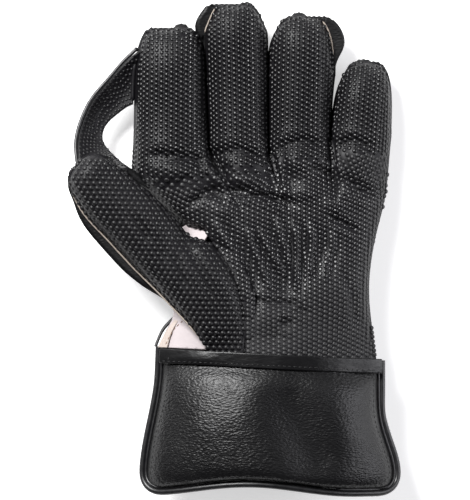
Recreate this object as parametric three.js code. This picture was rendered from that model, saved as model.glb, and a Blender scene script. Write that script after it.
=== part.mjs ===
// A left-hand wicketkeeping glove, lying on its back with the palm up.
//
// Lengths are in millimetres. +Y runs from the cuff to the fingertips, +X to the little-finger
// side and +Z out of the palm. While it is being made the glove has Y = 0 at the wrist and Z = 0
// on the surface it lies on; at the end it is centred over that surface.
//
// A pimpled rubber facing covers the palm side and a leather back covers the other. They meet at
// a seam round the hand and between the fingers, so the hand is hollow from cuff to fingertips.
// A catching web joins the index finger to the thumb, and a padded cuff covers the wrist.
import * as THREE from 'three';
import { mergeVertices } from 'three/addons/utils/BufferGeometryUtils.js';

// Overall sizes
const HAND_LENGTH = 226; // wrist to the tip of the middle finger
const HAND_WIDTH = 168; // across the finger roots
const HAND_DEPTH = 56; // palm to back, at the wrist
const THUMB_THICKNESS = 30;

// Cuff
const CUFF_LENGTH = 83; // wrist line to the mouth, at the corners
const CUFF_WRIST_WIDTH = 140;
const CUFF_MOUTH_WIDTH = 160.5;
const CUFF_CORNER = 9; // radius of the two rounded corners at the mouth
const FLARE = { thumb: { from: 0.08, to: 0.92 }, heel: { from: 0.35, to: 0.88 } }; // shares of its length
const MOUTH_RISE = 6.5; // how much higher the mouth's edge is at its highest than at its corners
const MOUTH_ARCH = { middle: -0.09, half: 0.44 }; // where it rises, shares of the mouth's width
const WRIST_SLOPE = 7; // how much lower the wrist line is on the heel side
const WRIST_LOW = 2; // how far the wrist line starts below Y = 0

// Walls and small parts
const RUBBER = 2.6; // rubber with its backing
const BACK_LEATHER = 3.4; // lightly padded leather
const CUFF_PAD = 9; // middle of a cuff pad
const CUFF_EDGE = 3; // edge of a cuff pad
const WEB_WALL = 2.4;
const LINING_LEATHER = 1.4;
const PIPING = 4.6; // diameter of the cuff piping
const BINDING = 1.8; // wall of the binding along the top of the cuff
const BINDING_HEIGHT = 9.5;
const BINDING_LAP = 4.5; // how far the binding covers the rubber
const GUSSET_TAPE = 0.16; // width of the tape along the gusset's lower edge, share of the gusset's
const TAPE_WALL = 0.9;
const FINE_PIPING = 2.6; // diameter of the piping along the gusset and the web
const EYE_HOLE = 5.5; // height of the gap between thumb and palm
const CROTCH_LAP = 3; // how far the white leather reaches under the rubber beside that gap
const CROTCH_DEPTH = 4.6; // how far below the rubber's edge it lies
const CLEARANCE = 0.3; // between neighbouring pieces

// Height of the side seam above the surface, and how far the palm side rises above it and the
// back drops below it. along: share of the hand's length; the rest: shares of its depth.
const PROFILE = [
  { along: -0.45, seam: 0.57, rise: 0.52, drop: 0.58 },
  { along: -0.02, seam: 0.53, rise: 0.46, drop: 0.54 },
  { along: 0.2, seam: 0.46, rise: 0.43, drop: 0.48 },
  { along: 0.42, seam: 0.37, rise: 0.37, drop: 0.39 },
  { along: 0.6, seam: 0.32, rise: 0.32, drop: 0.34 },
  { along: 0.78, seam: 0.32, rise: 0.31, drop: 0.33 },
  { along: 0.9, seam: 0.37, rise: 0.3, drop: 0.31 },
  { along: 1.05, seam: 0.48, rise: 0.28, drop: 0.28 },
];

// Points between the fingers, from the index side to the little-finger side.
// across: share of the hand's width from the middle of the cuff; along: share of its length.
const ROOTS = [
  { across: -0.537, along: 0.512 },
  { across: -0.235, along: 0.585 },
  { across: -0.006, along: 0.59 },
  { across: 0.235, along: 0.63 },
  { across: 0.466, along: 0.625 },
];

// across, along: where a finger ends. knuckle, end: its width over the middle joint and where the
// tip starts to round. flat: the share of that width that stays straight at the very tip.
// lip: how far the leather back stands out past the rubber beside the tip, towards the thumb if
// negative and towards the heel of the hand if positive.
const FINGERS = [
  { name: 'index', across: -0.381, along: 0.932, knuckle: 0.272, end: 0.262, flat: 0.58, lip: -0.004 },
  { name: 'middle', across: -0.132, along: 1.0, knuckle: 0.242, end: 0.242, flat: 0.45, lip: -0.042 },
  { name: 'ring', across: 0.124, along: 0.965, knuckle: 0.258, end: 0.248, flat: 0.42, lip: 0.042 },
  { name: 'little', across: 0.372, along: 0.835, knuckle: 0.214, end: 0.208, flat: 0.4, lip: 0.004 },
];
const LIP = { from: 0.66, to: 0.84 }; // share of a finger's length over which its back widens
const TIP_ROUNDING = 0.12; // length of a rounded tip, share of the hand's length

// The heel-side edge of the hand, wrist to little-finger root, shared by palm and back.
const HEEL_EDGE = [
  { across: 0.4167, along: -0.03 },
  { across: 0.392, along: 0.09 },
  { across: 0.382, along: 0.18 },
  { across: 0.394, along: 0.27 },
  { across: 0.412, along: 0.345 },
  { across: 0.437, along: 0.43 },
  { across: 0.454, along: 0.525 },
  { across: 0.466, along: 0.625 },
];

// The thumb-side edge of the palm facing, row by row as above. It follows the fold at the ball of
// the thumb, drops to the seam at the crotch and then runs up to the index finger's root.
const FOLD_EDGE = [
  { across: -0.104, along: -0.02, high: 0.99 },
  { across: -0.093, along: 0.12, high: 0.86 },
  { across: -0.118, along: 0.21, high: 0.8 },
  { across: -0.175, along: 0.28, high: 0.75 },
  { across: -0.25, along: 0.332, high: 0.68 },
  { across: -0.34, along: 0.372, high: 0.42 },
  { across: -0.44, along: 0.43, high: 0.37 },
  { across: -0.537, along: 0.512, high: 0.347 },
];
const CROTCH_ROW = 5; // the row of FOLD_EDGE at the crotch

// The thumb-side edge of the leather back, row by row as above.
const BACK_EDGE = [
  { across: -0.43, along: -0.01, high: 0.52 },
  { across: -0.385, along: 0.075, high: 0.45 },
  { across: -0.35, along: 0.135, high: 0.38 },
  { across: -0.338, along: 0.22, high: 0.345 },
  { across: -0.336, along: 0.3, high: 0.34 },
  { across: -0.345, along: 0.372, high: 0.37 },
  { across: -0.44, along: 0.43, high: 0.36 },
  { across: -0.537, along: 0.512, high: 0.338 },
];

// Rows across the thumb's rubber: its outer edge, and how far the rubber bulges above the line
// between its edges (share of the thumb's thickness). Up to the crotch its inner edge is the fold.
const THUMB_ROWS = [
  { across: -0.225, along: -0.015, high: 0.93, bulge: 0.0 },
  { across: -0.3, along: 0.072, high: 0.86, bulge: 0.3 },
  { across: -0.358, along: 0.115, high: 0.81, bulge: 0.46 },
  { across: -0.418, along: 0.165, high: 0.79, bulge: 0.54 },
  { across: -0.485, along: 0.213, high: 0.78, bulge: 0.58 },
  { across: -0.555, along: 0.266, high: 0.79, bulge: 0.58 },
  { across: -0.625, along: 0.325, high: 0.81, bulge: 0.56 },
  { across: -0.712, along: 0.388, high: 0.84, bulge: 0.52 },
  { across: -0.764, along: 0.44, high: 0.88, bulge: 0.45 },
];
// The thumb's inner edge from the crotch to the tip.
const THUMB_INNER = [
  { across: -0.345, along: 0.372, high: 0.735 },
  { across: -0.44, along: 0.443, high: 0.77 },
  { across: -0.53, along: 0.5, high: 0.81 },
  { across: -0.612, along: 0.55, high: 0.86 },
];
// Rows across the thumb's leather back, from the back of the hand to the tip. The first one goes
// with THUMB_ROWS[FIRST_BACK_ROW] and so on. below: how far its outer edge lies below the rubber's.
// across, along, high: its inner edge. lip: how far it stands out past the rubber on the outer
// side, share of the hand's width.
const THUMB_BACK_ROWS = [
  { below: 0.415, across: -0.346, along: 0.352, high: 0.37, bulge: 0.0, lip: 0 },
  { below: 0.17, across: -0.404, along: 0.402, high: 0.56, bulge: 0.24, lip: 0.012 },
  { below: 0.012, across: -0.437, along: 0.44, high: 0.7, bulge: 0.38, lip: 0.034 },
  { below: 0, across: -0.484, along: 0.471, high: 0.778, bulge: 0.43, lip: 0.045 },
  { below: 0, across: -0.532, along: 0.499, high: 0.803, bulge: 0.43, lip: 0.045 },
  { below: 0, across: -0.574, along: 0.526, high: 0.828, bulge: 0.41, lip: 0.032 },
  { below: 0, across: -0.612, along: 0.549, high: 0.856, bulge: 0.37, lip: 0.01 },
];
const FIRST_BACK_ROW = 2;
const THUMB_TIP = 0.066; // length of the rounded thumb tip, share of the hand's length
const THUMB_TIP_FLAT = 0.3;

// The outer edge of the catching web, from the index finger to the thumb, and how far the web
// bulges up between its edges (share of the hand's depth).
const WEB_OUTER = [
  { across: -0.513, along: 0.868, high: 0.4, sag: -0.04 },
  { across: -0.606, along: 0.79, high: 0.43, sag: -0.05 },
  { across: -0.69, along: 0.715, high: 0.46, sag: -0.05 },
  { across: -0.735, along: 0.63, high: 0.54, sag: -0.06 },
  { across: -0.74, along: 0.565, high: 0.65, sag: -0.05 },
  { across: -0.733, along: 0.51, high: 0.7, sag: -0.03 },
];
// Its inner edge, row by row as above.
const WEB_INNER = [
  { across: -0.532, along: 0.715, high: 0.34 },
  { across: -0.585, along: 0.69, high: 0.33 },
  { across: -0.636, along: 0.655, high: 0.34 },
  { across: -0.65, along: 0.615, high: 0.42 },
  { across: -0.62, along: 0.578, high: 0.55 },
  { across: -0.545, along: 0.528, high: 0.645 },
];

// The white leather gusset between thumb and cuff, from the wrist to its upper end: its edge on
// the leather back, and how far it bulges up between its edges.
const GUSSET_LOW = [
  { across: -0.434, along: 0.0145, high: 0.555, sag: 0.06 },
  { across: -0.406, along: 0.057, high: 0.505, sag: 0.04 },
  { across: -0.372, along: 0.11, high: 0.45, sag: 0.01 },
  { across: -0.393, along: 0.146, high: 0.6, sag: 0 },
];
// Its edge under the rubber, row by row as above.
const GUSSET_TOP = [
  { across: -0.213, along: 0.007, high: 0.815 },
  { across: -0.268, along: 0.052, high: 0.79 },
  { across: -0.325, along: 0.1, high: 0.755 },
  { across: -0.39, along: 0.15, high: 0.735 },
];
const GUSSET_TRIM = { from: 0, to: 0.5 }; // where the tape and piping run, shares of its length

// The white leather in the crotch covers these rows of FOLD_EDGE.
const CROTCH_ROWS = { from: 3.95, to: 4.85 };

// Creases pressed into the palm facing. fromAcross.. toAlong: ends; deep, wide: shares of the
// hand's depth.
const CREASES = [
  { fromAcross: -0.5, fromAlong: 0.585, toAcross: 0.2, toAlong: 0.6, deep: 0.05, wide: 0.09 },
  { fromAcross: -0.24, fromAlong: 0.44, toAcross: 0.26, toAlong: 0.49, deep: 0.05, wide: 0.09 },
  { fromAcross: 0.1, fromAlong: 0.52, toAcross: 0.42, toAlong: 0.47, deep: 0.045, wide: 0.08 },
  { fromAcross: -0.03, fromAlong: 0.05, toAcross: 0.2, toAlong: 0.06, deep: 0.05, wide: 0.09 },
];
const PALM_HOLLOW = { across: 0.12, along: 0.27, deep: 0.1, wide: 0.3, long: 0.2 };

// Materials
const RUBBER_BLACK = new THREE.MeshStandardMaterial({ color: 0x26262a, roughness: 0.42 });
const LEATHER_BLACK = new THREE.MeshStandardMaterial({ color: 0x17171a, roughness: 0.4 });
const PIPING_BLACK = new THREE.MeshStandardMaterial({ color: 0x1e1e22, roughness: 0.32 });
const LEATHER_WHITE = new THREE.MeshStandardMaterial({ color: 0xece0e0, roughness: 0.6 });
const TAPE_CREAM = new THREE.MeshStandardMaterial({ color: 0xd9c7b4, roughness: 0.75 });

const clamp01 = (x) => Math.min(1, Math.max(0, x));
const smooth = (from, to, x) => {
  const share = clamp01((x - from) / (to - from));
  return share * share * (3 - 2 * share);
};
const mix = (a, b, share) => a + (b - a) * share;
const steps = (count) => Array.from({ length: count + 1 }, (_, n) => n / count);
const across = (share) => share * HAND_WIDTH;
const along = (share) => share * HAND_LENGTH;
const high = (share) => share * HAND_DEPTH;

// A smooth value between four neighbouring values (Catmull-Rom).
function between(before, from, to, after, share) {
  const square = share * share;
  const bend = 2 * from + (to - before) * share;
  const curve = (2 * before - 5 * from + 4 * to - after) * square;
  return 0.5 * (bend + curve + (3 * from - before - 3 * to + after) * square * share);
}

// Every number in a table at a place counted in rows.
function rowAt(rows, place) {
  const index = Math.max(0, Math.min(rows.length - 2, Math.floor(place)));
  const [before, from, to, after] = [-1, 0, 1, 2].map(
    (step) => rows[Math.min(rows.length - 1, Math.max(0, index + step))],
  );
  const found = {};
  for (const key of Object.keys(from)) {
    found[key] = between(before[key], from[key], to[key], after[key], place - index);
  }
  return found;
}

// The hand's profile at a height y along it.
function profileAt(y) {
  const share = y / HAND_LENGTH;
  const past = PROFILE.findIndex((row) => row.along > share);
  const index = past === -1 ? PROFILE.length - 2 : Math.max(0, past - 1);
  const span = PROFILE[index + 1].along - PROFILE[index].along;
  const row = rowAt(PROFILE, index + clamp01((share - PROFILE[index].along) / span));
  return { seam: high(row.seam), rise: high(row.rise), drop: high(row.drop) };
}

const seamAt = (place) => profileAt(place.y).seam;

// Half of a rounded section: side runs from -1 to 1 across it.
const ROUNDNESS = 0.86;
const sideways = (side) => Math.sign(side) * Math.abs(Math.sin((side * Math.PI) / 2)) ** ROUNDNESS;
const upwards = (side) => Math.max(0, Math.cos((side * Math.PI) / 2)) ** ROUNDNESS;
const SHOULDER = 2.3; // exponent of the rounded shoulder beside an edge; 2 is a circle
const rounded = (reach) => (1 - (1 - clamp01(reach)) ** SHOULDER) ** (1 / SHOULDER);

// A low arch across the wrist and the cuff, which meets the other side at an edge. It is worked
// out over a slightly larger width, so its edge has some height.
const SEAM_OVER = 0.7;
const ARCH_FULLNESS = 0.72;
function arch(x, half) {
  const angle = (clamp01(Math.abs(x) / half) * Math.PI) / 2;
  return Math.max(0, Math.cos(angle)) ** ARCH_FULLNESS;
}

// The line where the hand ends and the cuff begins, and the height of the palm side over it.
const wristLine = (x) => -WRIST_LOW - WRIST_SLOPE * (0.5 + x / CUFF_WRIST_WIDTH);
function wristHeight(x) {
  const level = profileAt(wristLine(x));
  return level.seam + CLEARANCE / 2 + level.rise * arch(x, CUFF_WRIST_WIDTH / 2 + SEAM_OVER);
}

function creaseDepth(x, y) {
  let depth = 0;
  for (const crease of CREASES) {
    const from = new THREE.Vector2(across(crease.fromAcross), along(crease.fromAlong));
    const to = new THREE.Vector2(across(crease.toAcross), along(crease.toAlong));
    const run = to.clone().sub(from);
    const offset = new THREE.Vector2(x, y).sub(from);
    const share = clamp01(offset.dot(run) / run.lengthSq());
    const away = offset.sub(run.multiplyScalar(share)).length() / high(crease.wide);
    depth += high(crease.deep) * Math.exp(-away * away);
  }
  const dx = (x - across(PALM_HOLLOW.across)) / across(PALM_HOLLOW.wide);
  const dy = (y - along(PALM_HOLLOW.along)) / along(PALM_HOLLOW.long);
  return depth + high(PALM_HOLLOW.deep) * Math.exp(-dx * dx - dy * dy);
}

// Surfaces. A patch is a grid of points {p, limit, square, wall}. limit gives the height of the
// seam at a place, past which the wall's inner face may not go. Where the point ends up on the
// sheet's rim, its wall is square to the axis named by square. wall is the wall's thickness there.

function gridPatch(columns, rows, pointAt) {
  const points = rows.flatMap((j) => columns.map((i) => pointAt(i, j)));
  return { columns: columns.length - 1, rows: rows.length - 1, points };
}

// Joins patches where their points meet and gives the sheet a wall on its inner side. facing is 1
// where the sheet faces up and -1 where it faces down.
function walled(patches, facing, wall) {
  const points = [];
  const seen = new Map();
  const indexOf = (point) => {
    const key = point.p.toArray().map((v) => Math.round(v * 200)).join();
    if (!seen.has(key)) {
      seen.set(key, points.length);
      points.push(point);
    }
    return seen.get(key);
  };
  const faces = [];
  const addFace = (a, b, c) => {
    if (a !== b && b !== c && a !== c) faces.push(facing > 0 ? [a, b, c] : [a, c, b]);
  };
  for (const patch of patches) {
    const ids = patch.points.map(indexOf);
    const stride = patch.columns + 1;
    for (let j = 0; j < patch.rows; j += 1) {
      for (let i = 0; i < patch.columns; i += 1) {
        const corner = j * stride + i;
        addFace(ids[corner], ids[corner + 1], ids[corner + stride + 1]);
        addFace(ids[corner], ids[corner + stride + 1], ids[corner + stride]);
      }
    }
  }

  const normals = points.map(() => new THREE.Vector3());
  const edges = new Set();
  for (const face of faces) {
    const [a, b, c] = face.map((id) => points[id].p);
    const normal = b.clone().sub(a).cross(c.clone().sub(a));
    for (const id of face) normals[id].add(normal);
    for (let k = 0; k < 3; k += 1) edges.add(`${face[k]},${face[(k + 1) % 3]}`);
  }
  const rim = [...edges].map((key) => key.split(',').map(Number));
  const openRim = rim.filter(([a, b]) => !edges.has(`${b},${a}`));
  const onRim = new Set(openRim.flat());

  const inner = points.map((point, id) => {
    const normal = normals[id].normalize();
    if (onRim.has(id)) {
      if (point.square) normal[point.square] = 0;
      if (point.limit !== undefined && Math.abs(normal.z) < 0.7) normal.z = 0;
      normal.normalize();
    }
    const place = point.p.clone().addScaledVector(normal, -(point.wall ?? wall));
    if (point.limit !== undefined) {
      const stop = point.limit(place) + (facing * CLEARANCE) / 2;
      place.z = facing > 0 ? Math.max(place.z, stop) : Math.min(place.z, stop);
    }
    return place;
  });

  const count = points.length;
  const positions = [...points.map(({ p }) => p), ...inner].flatMap((p) => p.toArray());
  const index = faces.flat();
  for (const [a, b, c] of faces) index.push(a + count, c + count, b + count);
  for (const [a, b] of openRim) index.push(a, a + count, b + count, a, b + count, b);
  const geometry = new THREE.BufferGeometry();
  geometry.setAttribute('position', new THREE.Float32BufferAttribute(positions, 3));
  geometry.setIndex(index);
  return mergeVertices(geometry, 1e-3);
}

// A round cord along a path.
function cordAlong(points, diameter, stepCount, sides = 8) {
  const section = new THREE.Shape();
  for (let n = 0; n < sides; n += 1) {
    const angle = (n / sides) * 2 * Math.PI;
    const [x, y] = [Math.cos(angle), Math.sin(angle)].map((v) => (v * diameter) / 2);
    if (n === 0) section.moveTo(x, y);
    else section.lineTo(x, y);
  }
  const path = new THREE.CatmullRomCurve3(points, false, 'centripetal');
  const geometry = new THREE.ExtrudeGeometry(section, { steps: stepCount, extrudePath: path });
  geometry.deleteAttribute('normal');
  geometry.deleteAttribute('uv');
  return mergeVertices(geometry, 1e-4);
}

const group = new THREE.Group();
function add(name, geometry, material) {
  geometry.computeVertexNormals();
  const mesh = new THREE.Mesh(geometry, material);
  mesh.name = name;
  group.add(mesh);
}

// Fingers

const FINGER_COLUMNS = steps(8);
const STRAIGHT_ROWS = 4;
const TIP_ROWS = 4;
const FINGER_STEPS = steps(STRAIGHT_ROWS + TIP_ROWS);
const ROOT_LIFT_LENGTH = 9; // the finger sides come down to the seam over this length
const SIDE_GAP = CLEARANCE + 0.2; // between the seams of neighbouring fingers, each side

const rootPoint = (n) => new THREE.Vector3(across(ROOTS[n].across), along(ROOTS[n].along), 0);

// A point on a finger's surface. side: -1 to 1 across it; share: root to tip by rows.
function fingerPoint(n, side, share, facing, wall) {
  const finger = FINGERS[n];
  const left = rootPoint(n);
  const right = rootPoint(n + 1);
  const root = left.clone().add(right).multiplyScalar(0.5);
  const tip = new THREE.Vector3(across(finger.across), along(finger.along), 0);
  const tipLength = along(TIP_ROUNDING);
  const length = tip.distanceTo(root);
  const row = share * (STRAIGHT_ROWS + TIP_ROWS);

  const turn = row > STRAIGHT_ROWS ? ((row - STRAIGHT_ROWS) / TIP_ROWS) * (Math.PI / 2) : 0;
  const straight = (length - tipLength) * Math.min(1, row / STRAIGHT_ROWS);
  const gone = (straight + tipLength * Math.sin(turn)) / length;
  const full = Math.cos(turn);

  const rootHalf = (right.x - left.x) / 2;
  const knuckleHalf = across(finger.knuckle) / 2;
  const endHalf = across(finger.end) / 2;
  let half = gone < 0.5
    ? mix(rootHalf, knuckleHalf, smooth(0, 0.5, gone))
    : mix(knuckleHalf, endHalf, smooth(0.5, 0.85, gone));
  half = half * mix(finger.flat, 1, full) - SIDE_GAP * smooth(0, 0.1, gone);
  const hasLip = facing < 0 && side * finger.lip > 0;
  const lip = hasLip ? across(Math.abs(finger.lip)) * smooth(LIP.from, LIP.to, gone) : 0;

  const x = mix(root.x, tip.x, gone) + (half + lip) * sideways(side);
  const rootSlope = ((right.y - left.y) / 2) * (1 - gone);
  const y = mix(root.y, tip.y, gone) + rootSlope * sideways(side);
  const level = profileAt(y);
  const isOuter = side < 0 ? n === 0 : n === FINGERS.length - 1;
  const lift = isOuter ? 0 : (wall + CLEARANCE) * (1 - smooth(0, ROOT_LIFT_LENGTH / length, gone));
  const reach = facing > 0 ? level.rise : level.drop;
  const edge = CLEARANCE / 2 + lift * (1 - upwards(side));
  const curl = facing > 0 ? full : full ** 0.7;
  const z = level.seam + facing * (edge + (reach - edge) * upwards(side) * curl);
  return {
    p: new THREE.Vector3(x, y, Math.max(0, z)),
    limit: seamAt,
    square: share === 0 ? 'y' : undefined,
    wall: wall + lip * Math.abs(side),
  };
}

const fingerPatch = (n, facing, wall) =>
  gridPatch(FINGER_COLUMNS, FINGER_STEPS, (i, j) => fingerPoint(n, 2 * i - 1, j, facing, wall));

// Palm and back of the hand, from the wrist to the finger roots

const HAND_COLUMNS = steps((FINGER_COLUMNS.length - 1) * FINGERS.length);
const WRIST_STEP = 0.04; // up to here the hand lies flat under the binding
const HAND_STEPS = [0, WRIST_STEP, 0.12, 0.22, 0.33, 0.44, 0.55, 0.64, 0.72, 0.82, 0.91, 1];

const PAST_CROTCH = (CROTCH_ROW + 0.5) / (FOLD_EDGE.length - 1);
const SHOULDERS = { thumb: 0.3, heel: 0.42 }; // how far they reach in, shares of the hand's width
const BLEND = { wrist: 0.24, roots: 0.72 }; // shares of the palm's length

function handPoint(thumbEdge, i, j, facing, wall) {
  const thumb = rowAt(thumbEdge, j * (thumbEdge.length - 1));
  const heel = rowAt(HEEL_EDGE, j * (HEEL_EDGE.length - 1));
  const n = Math.min(FINGERS.length - 1, Math.floor(i * FINGERS.length + 1e-6));
  const root = fingerPoint(n, 2 * (i * FINGERS.length - n) - 1, 0, facing, wall).p;

  const firstRoot = across(ROOTS[0].across);
  const rootShare = (root.x - firstRoot) / (across(ROOTS.at(-1).across) - firstRoot);
  const even = mix(i, rootShare, smooth(0, 0.6, j));
  const heelX = across(heel.across);
  const x = mix(across(thumb.across), heelX, even);
  const rootLine = along(mix(thumbEdge.at(-1).along, HEEL_EDGE.at(-1).along, even));
  let y = along(mix(thumb.along, heel.along, even)) + (root.y - rootLine) * smooth(0.55, 1, j);
  if (j <= WRIST_STEP) y = wristLine(x) + (j / WRIST_STEP) * (BINDING_LAP + 3 * CLEARANCE);

  const level = profileAt(y);
  const top = level.seam + facing * (facing > 0 ? level.rise : level.drop);
  const heelZ = level.seam + (facing * CLEARANCE) / 2;
  const dropToThumb = (top - high(thumb.high)) * (1 - rounded(even / SHOULDERS.thumb));
  const dropToHeel = (top - heelZ) * (1 - rounded((1 - even) / SHOULDERS.heel));
  let z = top - dropToThumb - dropToHeel;
  const reach = facing > 0 ? level.rise : CLEARANCE - level.drop;
  const leftWrist = x > 0 ? smooth(WRIST_STEP, 0.1, j) : 0;
  const wristHalf = mix(CUFF_WRIST_WIDTH / 2, heelX, leftWrist);
  const wristZ = heelZ + reach * arch(x, wristHalf + SEAM_OVER);
  z = mix(wristZ, z, smooth(WRIST_STEP, BLEND.wrist, j));
  if (facing > 0 && j <= WRIST_STEP) z = wristHeight(x);
  if (facing > 0) z -= creaseDepth(x, y) * smooth(0.04, 0.14, j) * smooth(0, 0.15, 1 - even);
  z = mix(z, root.z, smooth(BLEND.roots, 1, j));
  let sideLimit;
  if (even > 1 - SHOULDERS.heel) sideLimit = seamAt;
  else if (even < SHOULDERS.thumb && (facing < 0 || j >= PAST_CROTCH)) sideLimit = () => high(thumb.high);
  return {
    p: new THREE.Vector3(x, y, Math.max(0, z)),
    limit: sideLimit,
    square: j === 0 || j === 1 ? 'y' : undefined,
  };
}

const handPatch = (thumbEdge, facing, wall) =>
  gridPatch(HAND_COLUMNS, HAND_STEPS, (i, j) => handPoint(thumbEdge, i, j, facing, wall));

function addHand() {
  const fronts = FINGERS.map((finger, n) => fingerPatch(n, 1, RUBBER));
  const palm = handPatch(FOLD_EDGE, 1, RUBBER);
  add('palm_facing', walled([palm, ...fronts], 1, RUBBER), RUBBER_BLACK);
  add('hand_back', walled([handPatch(BACK_EDGE, -1, BACK_LEATHER)], -1, BACK_LEATHER), LEATHER_BLACK);
  FINGERS.forEach((finger, n) => {
    const patch = fingerPatch(n, -1, BACK_LEATHER);
    for (const { p } of patch.points) p.y += 2 * CLEARANCE;
    add(`${finger.name}_back`, walled([patch], -1, BACK_LEATHER), LEATHER_BLACK);
  });
}

// Thumb

const THUMB_COLUMNS = steps(8);
const THUMB_PLACES = [0, 0.35, 0.8, 1.4, 2.2, 3, 3.7, 4.1, 4.45, 4.8, 5.2, 6, 7, 8];
const THUMB_BACK_PLACES = [2, 2.6, 3, 3.7, 4.1, 4.8, 5.2, 6, 7, 8];
const THUMB_TIP_TURNS = [0.25, 0.5, 0.75, 1];
const FOLD_GAP = 0.35; // between the thumb's rubber and the palm facing, along the fold
// Where the thumb's edge draws back from the fold to leave a gap, counted in rows, and its shares.
const EYE = { place: 4.45, spread: 0.38, across: 0.45, along: 0.9 };

const edgePoint = (row) => new THREE.Vector3(across(row.across), along(row.along), high(row.high));

// The thumb's edges and bulge at a place counted in rows of its rubber facing.
function thumbFrontRow(place) {
  const row = rowAt(THUMB_ROWS, place);
  const out = edgePoint(row);
  let inner;
  if (place < CROTCH_ROW) {
    inner = edgePoint(rowAt(FOLD_EDGE.slice(0, CROTCH_ROW + 1), place));
    const crotchHigh = THUMB_INNER[0].high;
    inner.z = mix(inner.z, high(crotchHigh), smooth(CROTCH_ROW - 2, CROTCH_ROW, place));
    const eye = EYE_HOLE * Math.exp(-(((place - EYE.place) / EYE.spread) ** 2));
    inner.x -= FOLD_GAP + EYE.across * eye;
    inner.y -= FOLD_GAP + EYE.along * eye;
  } else {
    inner = edgePoint(rowAt(THUMB_INNER, place - CROTCH_ROW));
    const joined = 1 - smooth(CROTCH_ROW, CROTCH_ROW + 1, place);
    inner.x -= FOLD_GAP * joined;
    inner.y -= FOLD_GAP * joined;
  }
  return { out, inner, bulge: row.bulge * THUMB_THICKNESS, lip: 0 };
}

function thumbBackRow(place) {
  const row = rowAt(THUMB_BACK_ROWS, place - FIRST_BACK_ROW);
  const out = edgePoint(rowAt(THUMB_ROWS, place));
  out.z -= high(Math.max(0, row.below)) + 3 * CLEARANCE;
  const inner = edgePoint(row);
  return { out, inner, bulge: row.bulge * THUMB_THICKNESS, lip: across(row.lip) };
}

// The thumb-side edge of the hand's leather back at a height y along the hand.
function backEdgeAt(y) {
  const past = BACK_EDGE.findIndex((row) => along(row.along) > y);
  const from = BACK_EDGE[past - 1];
  const share = (y - along(from.along)) / (along(BACK_EDGE[past].along) - along(from.along));
  return edgePoint(rowAt(BACK_EDGE, past - 1 + share));
}

// place is counted in rows; turn runs from 0 to 1 round the tip, past the last row.
function thumbPoint(side, rowFunction, lastPlace, { place, turn }, facing, wall) {
  const row = rowFunction(place);
  if (turn > 0) {
    const before = rowFunction(lastPlace - 1);
    const axis = row.out.clone().add(row.inner).sub(before.out).sub(before.inner).normalize();
    const centre = row.out.clone().add(row.inner).multiplyScalar(0.5);
    const angle = (turn * Math.PI) / 2;
    for (const edge of [row.out, row.inner]) {
      edge.lerp(centre, (1 - THUMB_TIP_FLAT) * (1 - Math.cos(angle)));
      edge.addScaledVector(axis, along(THUMB_TIP) * Math.sin(angle));
    }
    row.bulge *= Math.cos(angle);
  }
  const outward = row.out.clone().sub(row.inner).setZ(0).normalize();
  const lip = side < 0 ? row.lip * -side : 0;
  const p = row.out.clone().lerp(row.inner, (1 + sideways(side)) / 2).addScaledVector(outward, lip);
  const edgeZ = p.z;
  p.z += facing * (CLEARANCE / 2 + row.bulge * upwards(side));
  const onFold = facing > 0 && place < CROTCH_ROW + 1;
  return { p, limit: onFold ? undefined : () => edgeZ, wall: wall + lip };
}

function thumbPatch(rowFunction, places, facing, wall) {
  const last = places.at(-1);
  const rows = [
    ...places.map((place) => ({ place, turn: 0 })),
    ...THUMB_TIP_TURNS.map((turn) => ({ place: last, turn })),
  ];
  const pointAt = (i, row) => {
    const point = thumbPoint(2 * i - 1, rowFunction, last, row, facing, wall);
    if (facing > 0 && row.place < 0.8) {
      const atWrist = 1 - smooth(0.35, 0.9, row.place);
      point.p.z = mix(point.p.z, wristHeight(point.p.x), atWrist);
    }
    if (facing > 0 && row.place === 0) {
      point.p.y = wristLine(point.p.x);
      point.square = 'y';
    }
    if (facing < 0 && row.place === places[0]) {
      const edge = backEdgeAt(point.p.y);
      point.p.set(edge.x - 3 * CLEARANCE, point.p.y, edge.z);
      point.square = 'x';
    }
    return point;
  };
  return gridPatch(THUMB_COLUMNS, rows, pointAt);
}

function addThumb() {
  const facing = thumbPatch(thumbFrontRow, THUMB_PLACES, 1, RUBBER);
  add('thumb_facing', walled([facing], 1, RUBBER), RUBBER_BLACK);
  const back = thumbPatch(thumbBackRow, THUMB_BACK_PLACES, -1, BACK_LEATHER);
  add('thumb_back', walled([back], -1, BACK_LEATHER), LEATHER_BLACK);
}

// Web, gusset and crotch: sheets ruled between two edges, which bulge or sag between them

// A point on such a sheet. share: across it, from the first edge to the second; j: along it.
function ruledPoint([first, second], share, j) {
  const place = j * (first.length - 1);
  const row = rowAt(first, place);
  const p = edgePoint(row).lerp(edgePoint(rowAt(second, place)), share);
  p.z += high(row.sag) * Math.sin(Math.PI * share);
  return p;
}

const WHOLE = { from: 0, to: 1 };

function ruledSheet(edges, wall, columns, rowCount, width = 1, length = WHOLE) {
  const pointAt = (i, j) => ({ p: ruledPoint(edges, i * width, mix(length.from, length.to, j)) });
  return walled([gridPatch(steps(columns), steps(rowCount), pointAt)], 1, wall);
}

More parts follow.
